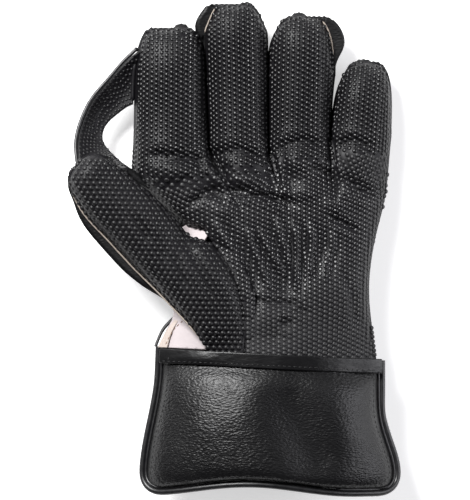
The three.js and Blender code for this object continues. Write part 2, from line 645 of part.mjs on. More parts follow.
// A cord beside the first edge of such a sheet.
function edgeCord(edges, wall, stepCount, length = WHOLE) {
  const nearby = 0.02;
  const path = steps(edges[0].length * 2).map((n) => {
    const j = mix(length.from, length.to, n);
    const p = ruledPoint(edges, 0, j);
    const run = ruledPoint(edges, 0, Math.min(1, j + nearby));
    run.sub(ruledPoint(edges, 0, Math.max(0, j - nearby))).normalize();
    const away = p.clone().sub(ruledPoint(edges, nearby, j));
    away.addScaledVector(run, -away.dot(run)).normalize();
    const down = away.clone().cross(run);
    down.multiplyScalar(-Math.sign(down.z));
    return p.addScaledVector(away, FINE_PIPING / 2 + CLEARANCE).addScaledVector(down, wall / 2);
  });
  return cordAlong(path, FINE_PIPING, stepCount, 6);
}

// Where the thumb side of the index finger is at a height y along the hand.
function indexSideAt(y) {
  const edge = steps(40).map((share) => fingerPoint(0, -1, share, -1, BACK_LEATHER).p);
  const past = edge.findIndex((p) => p.y > y);
  const from = edge[past - 1];
  return from.x + ((edge[past].x - from.x) * (y - from.y)) / (edge[past].y - from.y);
}

function addWeb() {
  const edges = [WEB_OUTER, WEB_INNER];
  const webPoint = (i, j) => {
    const p = ruledPoint(edges, i, 1 - j);
    if (j === 1) p.x = indexSideAt(p.y) - 2 * CLEARANCE;
    return { p, square: j === 1 ? 'x' : undefined };
  };
  add('catching_web', walled([gridPatch(steps(5), steps(14), webPoint)], 1, WEB_WALL), RUBBER_BLACK);
  add('web_piping', edgeCord(edges, WEB_WALL, 26), PIPING_BLACK);
}

function addWhiteLeather() {
  const edges = [GUSSET_LOW, GUSSET_TOP];
  add('wrist_gusset', ruledSheet(edges, LINING_LEATHER, 6, 8), LEATHER_WHITE);
  add('gusset_piping', edgeCord(edges, LINING_LEATHER, 12, GUSSET_TRIM), PIPING_BLACK);
  const tape = ruledSheet(edges, TAPE_WALL, 2, 6, GUSSET_TAPE, GUSSET_TRIM);
  tape.translate(0, 0, 1.9 * (TAPE_WALL + CLEARANCE));
  add('gusset_tape', tape, TAPE_CREAM);

  const crotchPoint = (i, j) => {
    const place = mix(CROTCH_ROWS.from, CROTCH_ROWS.to, j);
    const palmEdge = edgePoint(rowAt(FOLD_EDGE, place));
    const thumbEdge = thumbFrontRow(place).inner;
    const toPalm = palmEdge.clone().sub(thumbEdge).setZ(0).normalize();
    palmEdge.addScaledVector(toPalm, CROTCH_LAP);
    thumbEdge.addScaledVector(toPalm, -CROTCH_LAP);
    const p = thumbEdge.lerp(palmEdge, i);
    p.z -= CROTCH_DEPTH;
    return { p };
  };
  const crotch = walled([gridPatch(steps(4), steps(6), crotchPoint)], 1, LINING_LEATHER);
  add('crotch_leather', crotch, LEATHER_WHITE);
}

// Cuff

const CUFF_COLUMNS = steps(18);
const CUFF_STEPS = [0, 0.06, 0.16, 0.3, 0.45, 0.6, 0.74, 0.82, 0.89, 0.945, 0.98, 1];

// Half of the cuff's width at a share of its length, on the thumb side (-1) or the heel side (1).
function cuffHalf(j, side) {
  const { from, to } = side < 0 ? FLARE.thumb : FLARE.heel;
  return mix(CUFF_WRIST_WIDTH, CUFF_MOUTH_WIDTH, smooth(from, to, j)) / 2;
}

// A point on a cuff pad's outer surface. side: -1 to 1 across it; j: wrist to mouth.
function cuffPoint(side, j, facing) {
  const half = cuffHalf(j, side);
  const fromMouth = CUFF_LENGTH * (1 - j);
  const inCorner = Math.max(0, CUFF_CORNER - fromMouth);
  const cut = CUFF_CORNER - Math.sqrt(CUFF_CORNER ** 2 - inCorner ** 2);
  const reachX = Math.sin((side * Math.PI) / 2);
  const x = (half - cut) * reachX;
  const wristY = wristLine(x) - 1.5 * CLEARANCE;
  const fromArch = (x / CUFF_MOUTH_WIDTH - MOUTH_ARCH.middle) / MOUTH_ARCH.half;
  const rise = MOUTH_RISE * Math.cos((clamp01(Math.abs(fromArch)) * Math.PI) / 2) ** 2;
  const mouthY = -WRIST_LOW - WRIST_SLOPE / 2 - CUFF_LENGTH + rise;
  const y = mix(wristY, mouthY, j);
  const level = profileAt(y);
  const reach = facing > 0 ? level.rise : level.drop - CLEARANCE;
  const edgeZ = level.seam + (facing * CLEARANCE) / 2;
  const lap = (BINDING_HEIGHT - BINDING_LAP) / CUFF_LENGTH + 0.02;
  let base = edgeZ + facing * reach * arch(x, half + SEAM_OVER);
  if (facing > 0) base = mix(wristHeight(x), base, smooth(lap, lap + 0.12, j));
  const lengthwise = rounded((j - lap) / 0.18) * rounded((1 - j) / 0.12);
  const pillow = lengthwise * rounded((1 - Math.abs(reachX)) / 0.16);
  const swell = (CUFF_PAD - CUFF_EDGE) * pillow * (facing > 0 ? 1 : 0.4);
  return {
    p: new THREE.Vector3(x, y, Math.max(0, base + facing * swell)),
    limit: seamAt,
    square: j === 0 || j === 1 ? 'y' : undefined,
    wall: CUFF_EDGE + swell,
  };
}

const cuffPatch = (facing) =>
  gridPatch(CUFF_COLUMNS, CUFF_STEPS, (i, j) => cuffPoint(1 - 2 * i, j, facing));

// Points beside a pad's edge, given as [side, j] pairs in order round it.
function besidePad(outline, facing, heightOf) {
  const points = outline.map(([side, j]) => cuffPoint(side, j, facing).p);
  return points.map((p, n) => {
    const before = points[Math.max(0, n - 1)];
    const after = points[Math.min(points.length - 1, n + 1)];
    const run = after.clone().sub(before).setZ(0).normalize();
    const stand = PIPING / 2 + 2 * CLEARANCE;
    return new THREE.Vector3(p.x + run.y * stand, p.y - run.x * stand, heightOf(p));
  });
}

// The piping goes down one side, round the mouth's edge of the palm pad and up the other side.
function palmPipingPath() {
  const places = [0.2, 0.4, 0.6, 0.74, 0.83, 0.89, 0.93, 0.96, 0.98, 0.993];
  const down = [0.01, ...places].map((j) => [-1, j]);
  const mouth = CUFF_COLUMNS.slice(1, -1).map((i) => [2 * i - 1, 1]);
  const up = [-0.05, 0.05, ...places].map((j) => [1, j]).reverse();
  return besidePad([...down, ...mouth, ...up], 1, (p) => Math.max(seamAt(p), p.z - CUFF_EDGE / 2));
}

// The leather back's own piping is along its edge of the mouth only.
function backPipingPath() {
  const mouth = steps(12).map((i) => [0.7 * (2 * i - 1), 1]);
  return besidePad(mouth, -1, (p) => Math.max(PIPING / 2 + CLEARANCE, p.z + CUFF_EDGE / 2));
}

function addCuff() {
  add('cuff_palm_pad', walled([cuffPatch(1)], 1, CUFF_EDGE), LEATHER_BLACK);
  add('cuff_back_pad', walled([cuffPatch(-1)], -1, CUFF_EDGE), LEATHER_BLACK);
  add('cuff_piping', cordAlong(palmPipingPath(), PIPING, 66), PIPING_BLACK);
  add('cuff_back_piping', cordAlong(backPipingPath(), PIPING, 16), PIPING_BLACK);

  const half = CUFF_WRIST_WIDTH / 2 - 1;
  const bindingPoint = (i, j) => {
    const x = half * Math.sin((2 * i - 1) * (Math.PI / 2));
    const y = wristLine(x) + BINDING_LAP - BINDING_HEIGHT * (1 - j);
    const slope = wristHeight(x + 0.5) - wristHeight(x - 0.5);
    const z = wristHeight(x) + (BINDING + CLEARANCE) * Math.hypot(1, slope);
    return { p: new THREE.Vector3(x, y, z), square: 'y' };
  };
  const binding = gridPatch(steps(24), steps(3), bindingPoint);
  add('cuff_binding', walled([binding], 1, BINDING), LEATHER_BLACK);
}

addHand();
addThumb();
addWeb();
addWhiteLeather();
addCuff();

// The part's own origin: the middle of its box, on the surface it lies on.
const box = new THREE.Box3().setFromObject(group);
const middle = box.getCenter(new THREE.Vector3());
for (const mesh of group.children) mesh.position.set(-middle.x, -middle.y, -box.min.z);

export default group;
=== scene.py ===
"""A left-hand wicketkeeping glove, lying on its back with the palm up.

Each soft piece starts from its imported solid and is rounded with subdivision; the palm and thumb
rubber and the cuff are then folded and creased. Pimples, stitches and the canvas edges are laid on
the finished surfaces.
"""

import math

import bmesh
import bpy
import numpy as np
from bpy.props import FloatProperty, FloatVectorProperty, PointerProperty
from bpy.types import Operator, Panel, PropertyGroup
from mathutils import Matrix, Vector, noise
from mathutils.bvhtree import BVHTree


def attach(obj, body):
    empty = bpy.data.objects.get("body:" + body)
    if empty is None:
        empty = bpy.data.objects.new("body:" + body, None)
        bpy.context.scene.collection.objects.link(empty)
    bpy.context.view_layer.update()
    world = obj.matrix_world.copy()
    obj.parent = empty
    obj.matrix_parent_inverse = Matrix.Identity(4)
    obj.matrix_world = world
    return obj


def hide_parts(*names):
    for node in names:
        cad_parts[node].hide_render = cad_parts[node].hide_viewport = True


bl_info = {
    "name": "Wicketkeeping glove",
    "version": (1, 0, 0),
    "blender": (4, 5, 0),
    "location": "3D View > Sidebar > Glove",
    "description": "Dresses the glove's solids with rubber, leather, stitches and folds",
    "category": "Object",
}

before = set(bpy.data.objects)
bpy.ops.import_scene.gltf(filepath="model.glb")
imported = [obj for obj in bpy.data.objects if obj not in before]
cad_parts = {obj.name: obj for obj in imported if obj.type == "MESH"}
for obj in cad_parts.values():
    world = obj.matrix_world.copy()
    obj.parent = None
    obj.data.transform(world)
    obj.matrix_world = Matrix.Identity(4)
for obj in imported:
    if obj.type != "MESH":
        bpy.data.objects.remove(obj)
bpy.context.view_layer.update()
MM = 0.001


def linear(colour):
    """An sRGB hex value as linear red, green, blue."""
    shares = [((colour >> shift) & 255) / 255 for shift in (16, 8, 0)]
    return [c / 12.92 if c <= 0.04045 else ((c + 0.055) / 1.055) ** 2.4 for c in shares]


def colour_property(name, description, colour):
    return FloatVectorProperty(
        name=name,
        description=description,
        default=linear(colour),
        subtype="COLOR",
        min=0,
        max=1,
    )


def length_property(name, description, millimetres):
    return FloatProperty(
        name=name, description=description, default=millimetres * MM, unit="LENGTH", min=0
    )


class GloveSizes(PropertyGroup):
    """Sizes of what is laid on the glove's surfaces."""

    pimple_columns: length_property("Columns", "Distance between columns of pimples", 3.35)
    pimple_pitch: length_property("Pitch", "Distance between pimples along a column", 3.2)
    pimple_width: length_property("Width", "Diameter of a pimple at its foot", 3.3)
    pimple_height: length_property("Height", "Height of a pimple above the rubber", 0.95)
    stitch: length_property("Stitch", "Length of a stitch on the cuff", 2.6)
    stitch_pitch: length_property("Stitch pitch", "Distance between stitches", 3.4)
    thread: length_property("Thread", "Thickness of the thread", 0.7)
    canvas_edge: length_property("Canvas edge", "Width of the canvas at a cut edge", 1)
    fold_depth: FloatProperty(
        name="Folds", description="Depth of the folds in the palm", default=1.6, min=0, max=2
    )


class GloveColours(PropertyGroup):
    """Colours of the glove's materials."""

    rubber: colour_property("Rubber", "Black rubber of the palm", 0x131215)
    leather: colour_property("Leather", "Black leather of the cuff and back", 0x0B0B0C)
    piping: colour_property("Piping", "Smooth black piping", 0x0D0D0F)
    white: colour_property("White leather", "Leather at the thumb", 0xB8AFB0)
    tape: colour_property("Tape", "Tape on the white leather", 0xB6AAA2)
    canvas: colour_property("Canvas", "Backing that shows at the rubber's cut edge", 0xA89D92)
    brown_thread: colour_property("Brown thread", "Thread through the tape", 0x6B4A34)
    black_thread: colour_property("Black thread", "Thread on the cuff", 0x0F0F10)
    floor: colour_property("Floor", "The surface under the glove", 0xF4F4F4)


# Folds pressed into the palm: how deep, where a negative one is a ridge, half the width, and points
# along the fold, all in millimetres.
FOLDS = [
    (2.6, 2.4, [
        (-37, 26), (-29.7, 29), (-23.9, 32.5), (-18.7, 36.4), (-5.7, 38.8), (15.8, 36.2),
        (33, 31.7), (47, 28.5),
    ]),
    (1.5, 2.2, [(60, 23), (73, 16.8), (84, 10)]),
    (1.7, 3.4, [(45, 56), (60, 49.2), (73, 44), (86, 38.8), (97, 33)]),
    (1.6, 2.2, [(7, -31), (16.4, -33.3), (26, -35.2), (37.2, -35.4), (54, -41)]),
    (1.9, 3, [(-60, 60), (-47.3, 61), (-35.6, 60.3), (-23.9, 58.4), (-14, 55.4)]),
    (1.7, 2.8, [(-21, 57), (-8.3, 63.5), (2.1, 64.9), (11.2, 62.9), (22, 57)]),
    (1.5, 3, [(25, 63), (38.5, 69.4), (48.9, 70.7), (61, 66)]),
    (1.4, 3, [(64, 66), (76, 71), (92, 67)]),
    (1.6, 1.8, [(28, -48.6), (34, -47.2), (41, -49.2)]),
    (-1.9, 3, [(-18, 23.2), (-9.6, 14.2), (-1.8, 4.4), (4.4, -7), (8.4, -20), (10, -34), (8, -50)]),
    (0.8, 3.6, [(-10, 20), (-2, 9), (6, -4), (13, -20), (15, -32)]),
    (-1.2, 2.1, [(8, 18), (13.2, 3.1), (18.4, -9), (25.5, -27)]),
    (-1.2, 2.1, [(16, 16), (24.2, -0.2), (30.1, -10.2), (36, -20)]),
    (-1.1, 2, [(27.5, 24), (30.5, 10.8), (35.3, -1.2), (38.6, -14)]),
    (-1.3, 2.2, [(37.9, 22), (41.6, 9.6), (42.8, -2), (41.2, -16), (40, -31)]),
    (-1.2, 2.1, [(50.2, 20), (51.6, 6), (49.6, -6), (48, -19)]),
    (-1.1, 2.2, [(65, 16), (64.5, 3), (61, -9), (58, -21)]),
    (1.1, 2, [(-14, 52), (4, 50), (20, 51), (34, 47)]),
    (1, 1.8, [(-46, 41), (-36, 43), (-26, 47)]),
    (0.8, 2.4, [(70, -10), (78, -30), (80, -50)]),
    (-2.2, 3.2, [(-18.6, 66), (-15, 52), (-6, 41), (3, 31)]),
    (-2.2, 3.2, [(23.8, 68), (28, 54), (32, 42), (36, 31)]),
    (-2, 3.2, [(64.6, 76), (66.5, 62), (70, 47), (76, 33)]),
]
# Soft mounds under the finger roots and hollows between them: X, Y, reach along X, reach along Y,
# and height, which is negative for a hollow.
MOUNDS = [
    (-38, 50, 15, 7, 1.8),
    (3, 49, 13, 6, 2),
    (41, 57, 11, 7, 2.3),
    (80, 57, 12, 9, 1.6),
    (-8, 27, 11, 7, 2),
    (46, 38, 10, 5, 2),
    (66, 31, 8, 5, 1.5),
    (33, -20, 9, 14, -2.2),
    (62, -4, 11, 14, -1.2),
    (26, -56, 14, 6, -1.1),
]
# Folds along the thumb and its ball.
THUMB_FOLDS = [
    (1.2, 4, [(-40, 14), (-28, 0), (-18, -18), (-12, -36)]),
    (0.9, 3, [(-66, 24), (-58, 14), (-54, 4)]),
    (0.8, 3, [(-38, 0), (-34, -12), (-30, -26)]),
]
# Shallow folds in the cuff's padding, and where it stands highest.
CUFF_FOLDS = [
    (3, 15, [(26, -78), (38, -104), (50, -130), (62, -152)]),
    (0.5, 9, [(-44, -96), (-38, -112), (-36, -130)]),
]
CUFF_MOUNDS = [(-16, -112, 32, 30, 3), (76, -118, 18, 30, 2.2)]
BAND_MOUNDS = [(-25, -70.5, 13, 4.5, 1.4)]

# Middle of each finger's root and its tip, the width that its pimples cover to either side, and
# where along X and how far the gathered seam stands up at its tip, all in millimetres.
FINGERS = [
    dict(name="index", root=(-40.4, 48), tip=(-39.8, 144.2), reach=26, gather=-33.6, stand=2.6),
    dict(name="middle", root=(4, 55), tip=(2.1, 159.6), reach=24, gather=9.3, stand=1.2),
    dict(name="ring", root=(43.2, 60), tip=(45.1, 151.6), reach=24, gather=43.1, stand=2.4),
    dict(name="little", root=(82, 64), tip=(86.7, 122.3), reach=22, gather=85.3, stand=1.4),
]

# Edges of the web in millimetres, from the index finger to the thumb.
WEB_OUTER = [
    (-61.9, 129.7), (-77.6, 112.1), (-91.7, 95.1), (-99.2, 75.9), (-100.1, 61.2), (-98.9, 48.8)
]
WEB_INNER = [
    (-65.1, 95.1), (-74, 89.5), (-82.6, 81.6), (-85, 72.5), (-79.9, 64.2), (-67.3, 52.9)
]
WEB_SEAM = [(-63, 130), (-64.4, 120), (-65.7, 107), (-66.4, 95)]
# The rolled edge that leads from the web into the fork of the thumb.
WEB_LINING = [
    (-92, 62, 34), (-86, 60, 33), (-80, 57.5, 31), (-74, 54, 29), (-68, 50, 27), (-62, 46, 26),
    (-56, 41.5, 26), (-50, 37, 27),
]

# Where the rubber of the palm is drawn over the root of the thumb, in millimetres.
THUMB_SEAM = [
    (-13, 4.5), (-5, -3.5), (0.5, -12.5), (4.8, -22), (6.6, -31), (7.2, -44), (6.8, -58), (6.3, -84)
]

# The outline of the cuff in millimetres, from the wrist on the thumb side round the mouth.
CUFF_LINE = [
    (-48.7, -69), (-49.4, -84), (-52.2, -101.6), (-56.7, -118.5), (-60.1, -140.6), (-59, -151.9),
    (-50.9, -159), (-43.4, -160.1), (-21.9, -156.2), (6, -153.6), (34, -155.5), (61.9, -158.8),
    (84.7, -160.7), (95.7, -159.4), (104.8, -154.2), (108.7, -146.4), (108.1, -138.6),
    (103.5, -123), (99, -108.1), (98.5, -92), (98.5, -76),
]
BAND_LINE = [(-46, -72.2), (-20, -73), (20, -74.6), (60, -76.6), (94, -78.6)]
TAPE_LINE = [(-33.5, -44.6), (-39.8, -50.8), (-43.8, -57.6), (-45.6, -61.6)]

# Small moves that bring the outline to the real one: where each is strongest, its way along X and
# Y, and how far it is felt, in millimetres.
OUTLINE_MOVES = [
    ((-60, 112), (-2.2, 0), (12, 42)),
    ((101, 96), (1.8, 0), (9, 30)),
    ((100, 36), (1.4, 0), (9, 26)),
    ((-106, 40), (2.8, 0), (14, 16)),
]
BAND_MOVES = [
    ((93, -76), (4.2, 0), (9, 16)),
    ((-46, -70), (-3.2, 0), (8, 14)),
]
PIPING_MOVES = [((-49, -71), (0.5, 7.5), (6, 7))]
GUSSET_MOVES = [((-40, -46.5), (3.6, 3.2), (5, 5))]
GUSSET_PIPING_MOVES = [((-43, -55), (-1.5, 0.9), (9, 14))]
PALM_MOVES = [((-20, 11), (1.2, 3.4), (6, 5))]
WEB_MOVES = [((-63, 128), (3.6, 0.6), (7, 10))]
BACK_MOVES = [
    ((67, 134), (4.4, -1), (8, 14)),
    ((-22, 143), (-2.6, 0), (7, 12)),
]
# Where neighbouring fingers press against each other, in millimetres.
FINGER_GAPS = [
    [(-15.2, 62), (-15.9, 80), (-17, 100), (-17.7, 120), (-18, 142)],
    [(23.4, 60), (22.9, 120), (23.2, 142)],
    [(64.2, 70), (65, 95), (66.6, 114)],
]

# Where the rubber's cut edge shows its canvas, in millimetres.
THUMB_EDGE = [
    (-106, 37), (-104, 32.5), (-98, 23.9), (-88.9, 13.5), (-78.5, 4.2), (-68.1, -7.3),
    (-57, -18.4), (-45.3, -30.7), (-36, -42.5), (-28, -50.5), (-18, -57.6),
]
MIDDLE_EDGE = [(-9.5, 157.6), (-14.4, 151.2), (-17.6, 144.5), (-18.6, 139)]
RING_EDGE = [(57, 149.6), (62.4, 144.4), (65.2, 138.9), (66, 132.4), (66.2, 124)]


# Shapes


def shown(name, mesh):
    piece = bpy.data.objects.new(name, mesh)
    bpy.context.scene.collection.objects.link(piece)
    return piece


def mesh_from(bm, name):
    mesh = bpy.data.meshes.new(name)
    bm.to_mesh(mesh)
    bm.free()
    return mesh


def bake(piece):
    """Applies the piece's modifiers to its mesh."""
    shaped = piece.evaluated_get(bpy.context.evaluated_depsgraph_get())
    old = piece.data
    piece.data = bpy.data.meshes.new_from_object(shaped)
    piece.modifiers.clear()
    bpy.data.meshes.remove(old)


def places_of(piece, what="co"):
    """The places or normals of a piece's vertices, as an array."""
    values = np.zeros(len(piece.data.vertices) * 3)
    piece.data.vertices.foreach_get(what, values)
    return values.reshape(-1, 3)


def put_places(piece, places):
    piece.data.vertices.foreach_set("co", places.ravel())
    piece.data.update()


def fit(piece, moves, gaps=()):
    """Nudges a piece along X and Y, and presses fingers together along their gaps."""
    places = places_of(piece)
    x, y = places[:, 0] / MM, places[:, 1] / MM
    for middle, way, reach in moves:
        dx, dy = (x - middle[0]) / reach[0], (y - middle[1]) / reach[1]
        felt = np.exp(-dx * dx - dy * dy)[:, None]
        places[:, :2] += felt * np.array(way) * MM
    for gap in gaps:
        away = x - np.interp(y, [p[1] for p in gap], [p[0] for p in gap])
        along = smooth(gap[0][1], gap[0][1] + 8, y) * smooth(gap[-1][1] + 8, gap[-1][1], y)
        pressed = 0.95 * away + 0.3 * np.sign(away)
        places[:, 0] -= pressed * np.exp(-((away / 2.8) ** 2)) * along * MM
    put_places(piece, places)


def soft_copy(node, name, levels=2, rim_crease=1.0):
    """A rounded copy of a node's solid, whose rims stay crisp."""
    bm = bmesh.new()
    bm.from_mesh(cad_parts[node].data)
    bmesh.ops.remove_doubles(bm, verts=bm.verts, dist=0.01 * MM)
    bmesh.ops.join_triangles(
        bm,
        faces=bm.faces,
        angle_face_threshold=math.radians(50),
        angle_shape_threshold=math.radians(60),
    )
    crease = bm.edges.layers.float.new("crease_edge")
    for edge in bm.edges:
        if edge.is_manifold and edge.calc_face_angle() > math.radians(55):
            edge[crease] = rim_crease
    piece = shown(name, mesh_from(bm, name))
    smoothing = piece.modifiers.new("rounding", "SUBSURF")
    smoothing.levels = smoothing.render_levels = levels
    bake(piece)
    fit(piece, OUTLINE_MOVES, FINGER_GAPS)
    return piece


def worn_by(piece, nodes, finish):
    """Gives a piece its material and its place in the frame."""
    piece.data.materials.clear()
    piece.data.materials.append(material(finish))
    piece.data.shade_smooth()
    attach(piece, "root")
    if nodes:
        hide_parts(*nodes)


def smooth(low, high, x):
    share = np.clip((x - low) / (high - low), 0, 1)
    return share * share * (3 - 2 * share)


def line_distance(x, y, points):
    """Distance from each place to a line through points, and the share of its length there."""
    points = np.array(points, float)
    lengths = np.linalg.norm(np.diff(points, axis=0), axis=1)
    gone, total = 0, lengths.sum()
    nearest, share = np.full(x.shape, 1e9), np.zeros(x.shape)
    for (ax, ay), (bx, by), length in zip(points[:-1], points[1:], lengths):
        t = np.clip(((x - ax) * (bx - ax) + (y - ay) * (by - ay)) / length**2, 0, 1)
        away = np.hypot(x - ax - t * (bx - ax), y - ay - t * (by - ay))
        closer = away < nearest
        nearest = np.where(closer, away, nearest)
        share = np.where(closer, (gone + t * length) / total, share)
        gone += length
    return nearest, share


def fold_height(x, y, folds, mounds):
    """How far folds and mounds lift the surface at each place, in millimetres."""
    lift = np.zeros_like(x)
    for deep, wide, points in folds:
        away, share = line_distance(x, y, points)
        ends = smooth(0, 0.25, share) * smooth(0, 0.25, 1 - share)
        groove = np.exp(-((away / wide) ** 2))
        banks = 0.3 * np.exp(-((away / wide - 2) ** 2))
        lift -= deep * ends * (groove - banks)
    for middle_x, middle_y, wide, long, high in mounds:
        dx, dy = (x - middle_x) / wide, (y - middle_y) / long
        lift += high * np.exp(-dx * dx - dy * dy)
    return lift


def sculpt(piece, folds, mounds=(), waviness=0.9, wave=24, fade=None, top_only=False):
    """Presses folds into the parts of a piece that face up or down, and makes it a little uneven.
    waviness, wave: height and length of its unevenness; fade: where it begins along Y, all in
    millimetres."""
    places, normal = places_of(piece), places_of(piece, "normal")
    x, y = places[:, 0] / MM, places[:, 1] / MM
    strength = 1 if top_only else bpy.context.scene.glove_sizes.fold_depth
    lift = strength * fold_height(x, y, folds, mounds)
    uneven = [noise.noise(Vector((a / wave, b / wave, 3.7))) for a, b in zip(x, y)]
    lift += waviness * np.array(uneven)
    lift *= smooth(0.2, 0.75, normal[:, 2] if top_only else np.abs(normal[:, 2]))
    if fade:
        lift *= smooth(*fade, y)
    places[:, 2] += lift * MM
    put_places(piece, places)


def fill_pad(piece, pressure, outward):
    """Fills a pad like a cushion, as cloth under pressure whose edge and lining are sewn down.
    outward: 1 for a pad that faces up, -1 for one that lies on the floor."""
    mesh, frames, highest_rise = piece.data, 20, 5 * MM
    start = [vertex.co.copy() for vertex in mesh.vertices]
    sewn = piece.vertex_groups.new(name="sewn")
    for vertex in mesh.vertices:
        facing = vertex.normal.z * outward
        sewn.add([vertex.index], float(smooth(0.8, 0.4, facing)), "REPLACE")
    cloth = piece.modifiers.new("filling", "CLOTH")
    cloth.settings.vertex_group_mass = "sewn"
    cloth.settings.use_pressure = True
    cloth.settings.uniform_pressure_force = pressure
    cloth.settings.effector_weights.gravity = 0
    cloth.point_cache.frame_end = frames
    scene = bpy.context.scene
    for number in range(1, frames + 1):
        scene.frame_set(number)
    bake(piece)
    scene.frame_set(1)
    for vertex, place in zip(piece.data.vertices, start):
        moved = vertex.co - place
        vertex.co = place + moved * min(1, highest_rise / max(moved.length, 1e-9))
        vertex.co.z = max(vertex.co.z, 0)
    piece.vertex_groups.clear()
    piece.data.update()


def recess(piece, depth):
    """Sinks the outer skin of a rubber piece, so that its pimples end at the solid's surface."""
    normal = places_of(piece, "normal")
    put_places(piece, places_of(piece) - normal * smooth(-0.5, 0, normal[:, 2:]) * depth)


def tube(name, path, width, finish, taper=0):
    """A round cord along a path; taper: the share of its length over which each end thins out."""
    curve = bpy.data.curves.new(name, "CURVE")
    curve.dimensions = "3D"
    curve.bevel_depth = width / 2
    curve.bevel_resolution = 2
    curve.use_fill_caps = True
    spline = curve.splines.new("POLY")
    spline.points.add(len(path) - 1)
    for number, (point, place) in enumerate(zip(spline.points, path)):
        share = number / (len(path) - 1)
        point.co = (*place, 1)
        if taper:
            point.radius = max(0.15, float(smooth(0, taper, min(share, 1 - share))))
    drawn = shown(name + "_curve", curve)
    depsgraph = bpy.context.evaluated_depsgraph_get()
    mesh = bpy.data.meshes.new_from_object(drawn.evaluated_get(depsgraph))
    bpy.data.objects.remove(drawn)
    cord = shown(name, mesh)
    worn_by(cord, [], finish)
    return cord


def join(piece, other):
    """Adds another piece's mesh to a piece."""
    bm = bmesh.new()
    for mesh in (piece.data, other.data):
        bm.from_mesh(mesh)
    bpy.data.objects.remove(other)
    piece.data = mesh_from(bm, piece.name)


def between(first, second, line, height):
    """A path in the seam between two pieces, given by name, along a line in millimetres."""
    first, second = (surface_of(bpy.data.objects[name]) for name in (first, second))
    path = []
    for p in smooth_line(line, 1.5):
        near = first.find_nearest(Vector((p.x, p.y, height)) * MM)[0]
        path.append(near.lerp(second.find_nearest(near)[0], 0.5))
    return path


def outline(surface, line, side):
    """The places near a line, in millimetres, where a surface ends as it is seen from above.
    side: 1 where the surface ends to the left of the line, -1 to the right."""
    path, places = smooth_line(line, 1), []
    for here, there in zip(path, path[1:]):
        run = (there - here).normalized()
        outward = Vector((-run.y, run.x, 0)) * side
        for step in range(20, -21, -1):
            place = (here + outward * step * 0.2) * MM
            hit = drop(surface, place.x, place.y)
            if hit and (not places or (hit[0] - places[-1]).length < 4 * MM):
                places.append(hit[0] + outward * 0.6 * MM)
                break
    windows = [places[max(0, n - 3):n + 4] for n in range(len(places))]
    return [sum(window, Vector()) / len(window) for window in windows]


def gather_tips(piece, fingers=FINGERS):
    """Draws the seam at each fingertip up into a small gathered lump."""
    for vertex in piece.data.vertices:
        x, y = vertex.co.x / MM, vertex.co.y / MM
        for finger in fingers:
            near_tip = float(smooth(7, 0, finger["tip"][1] - y))
            beside = (x - finger["gather"]) / 4.2
            lump = math.exp(-(beside**4)) * near_tip
            pleats = 0.3 * math.cos((x - finger["gather"]) * 1.9) * near_tip
            if abs(x - finger["tip"][0]) < 22 and near_tip > 0:
                vertex.co.y += (finger["stand"] * lump + pleats) * MM
                vertex.co.z += 0.8 * lump * MM
    piece.data.update()


def surface_of(*pieces):
    """The faces of one or more pieces, as a surface to measure on."""
    corners, faces = [], []
    for piece in pieces:
        faces += [[n + len(corners) for n in p.vertices] for p in piece.data.polygons]
        corners += [vertex.co for vertex in piece.data.vertices]
    return BVHTree.FromPolygons(corners, faces)


def drop(surface, x, y):
    """Where a plumb line first meets a surface, and which way the surface faces there."""
    place, normal, _, _ = surface.ray_cast(Vector((x, y, 0.2)), Vector((0, 0, -1)))
    return None if place is None else (place, normal)


def smooth_line(points, spacing):
    """Evenly spaced places on a smooth line through points, all in millimetres."""
    points = [Vector((*p[:2], 0)) for p in points]
    points = [2 * points[0] - points[1], *points, 2 * points[-1] - points[-2]]
    fine = []
    for a, b, c, d in zip(points, points[1:], points[2:], points[3:]):
        for n in range(12):
            t = n / 12
            bend = (2 * a - 5 * b + 4 * c - d) * t * t + (3 * b - a - 3 * c + d) * t**3
            fine.append(0.5 * (2 * b + (c - a) * t + bend))
    fine.append(points[-2])
    places, wanted, gone = [], 0.0, 0.0
    for a, b in zip(fine, fine[1:]):
        length = (b - a).length
        while gone + length >= wanted:
            places.append(a.lerp(b, (wanted - gone) / max(length, 1e-9)))
            wanted += spacing
        gone += length
    return places


def inset(points, distance):
    """A line moved to its left by a distance, in millimetres."""
    moved = []
    for n, p in enumerate(points):
        run = Vector(points[min(n + 1, len(points) - 1)][:2]) - Vector(points[max(n - 1, 0)][:2])
        run.normalize()
        moved.append((p[0] - run.y * distance, p[1] + run.x * distance))
    return moved


def scattered(name, shape, places):
    """One mesh that holds a copy of shape at each place."""
    bm = bmesh.new()
    for place in places:
        copy = shape.copy()
        copy.transform(place)
        bm.from_mesh(copy)
        bpy.data.meshes.remove(copy)
    return shown(name, mesh_from(bm, name))


# Pimples

# How far up the rubber has to face to carry a pimple, as the Z of its normal.
STEEPEST = 0.06


def pimple_shape(share=1, hollow=0):
    """A low dome. share: its size as a share of the usual; hollow: how far its worn top is
    pressed in."""
    sizes = bpy.context.scene.glove_sizes
    width, height = share * sizes.pimple_width, share * sizes.pimple_height
    bm = bmesh.new()
    bmesh.ops.create_uvsphere(bm, u_segments=8, v_segments=6, radius=0.5)
    everything = bm.verts[:] + bm.edges[:] + bm.faces[:]
    bmesh.ops.bisect_plane(
        bm, geom=everything, plane_co=(0, 0, 0), plane_no=(0, 0, 1), clear_inner=True
    )
    bmesh.ops.scale(bm, vec=(width, width, 2 * height), verts=bm.verts)
    top = max(bm.verts, key=lambda vertex: vertex.co.z)
    top.co.z -= hollow
    return mesh_from(bm, "pimple")


